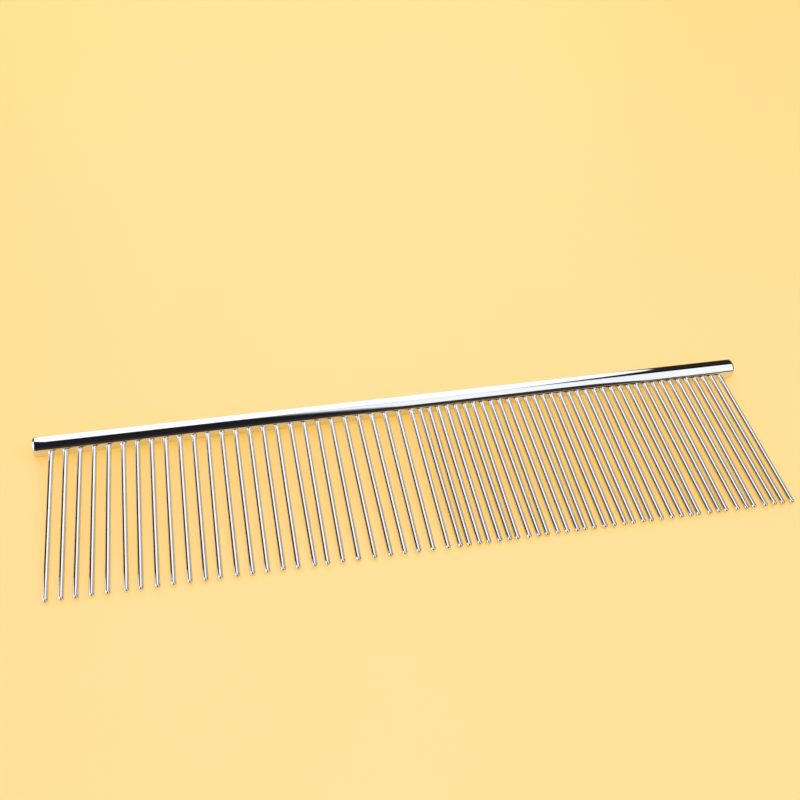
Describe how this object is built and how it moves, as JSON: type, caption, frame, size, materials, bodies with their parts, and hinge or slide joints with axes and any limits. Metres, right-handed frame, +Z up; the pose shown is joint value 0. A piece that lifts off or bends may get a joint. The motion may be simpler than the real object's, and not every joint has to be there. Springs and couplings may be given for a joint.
{
  "type": "grooming comb",
  "caption": "Straight steel grooming comb: a solid round spine with long round pins pressed into one side, widely spaced along one half and closely spaced along the other.",
  "frame": {"origin": "on the table that the comb lies on, under the middle of its bounding box", "axes": "+X along the spine from the coarse end to the fine end, -Y the way the pins point, +Z up from the table"},
  "size_m": [0.19, 0.0529, 0.0053],
  "materials": {
    "spine_plating": "bright polished chrome plate over steel bar",
    "pin_plating": "bright polished chrome plate over drawn steel wire"
  },
  "bodies": {
    "root": {"spine": "spine_plating", "coarse_pin_01": "pin_plating", "coarse_pin_02": "pin_plating", "coarse_pin_03": "pin_plating", "coarse_pin_04": "pin_plating", "coarse_pin_05": "pin_plating", "coarse_pin_06": "pin_plating", "coarse_pin_07": "pin_plating", "coarse_pin_08": "pin_plating", "coarse_pin_09": "pin_plating", "coarse_pin_10": "pin_plating", "coarse_pin_11": "pin_plating", "coarse_pin_12": "pin_plating", "coarse_pin_13": "pin_plating", "coarse_pin_14": "pin_plating", "coarse_pin_15": "pin_plating", "coarse_pin_16": "pin_plating", "coarse_pin_17": "pin_plating", "coarse_pin_18": "pin_plating", "coarse_pin_19": "pin_plating", "coarse_pin_20": "pin_plating", "coarse_pin_21": "pin_plating", "coarse_pin_22": "pin_plating", "coarse_pin_23": "pin_plating", "coarse_pin_24": "pin_plating", "coarse_pin_25": "pin_plating", "coarse_pin_26": "pin_plating", "coarse_pin_27": "pin_plating", "fine_pins_01_02": "pin_plating", "fine_pins_03_04": "pin_plating", "fine_pins_05_06": "pin_plating", "fine_pins_07_08": "pin_plating", "fine_pins_09_10": "pin_plating", "fine_pins_11_12": "pin_plating", "fine_pins_13_14": "pin_plating", "fine_pins_15_16": "pin_plating", "fine_pins_17_18": "pin_plating", "fine_pins_19_20": "pin_plating", "fine_pins_21_22": "pin_plating", "fine_pins_23_24": "pin_plating", "fine_pins_25_26": "pin_plating", "fine_pins_27_28": "pin_plating", "fine_pins_29_30": "pin_plating", "fine_pins_31_32": "pin_plating", "fine_pins_33_34": "pin_plating", "fine_pins_35_36": "pin_plating"}
  },
  "joints": []
}
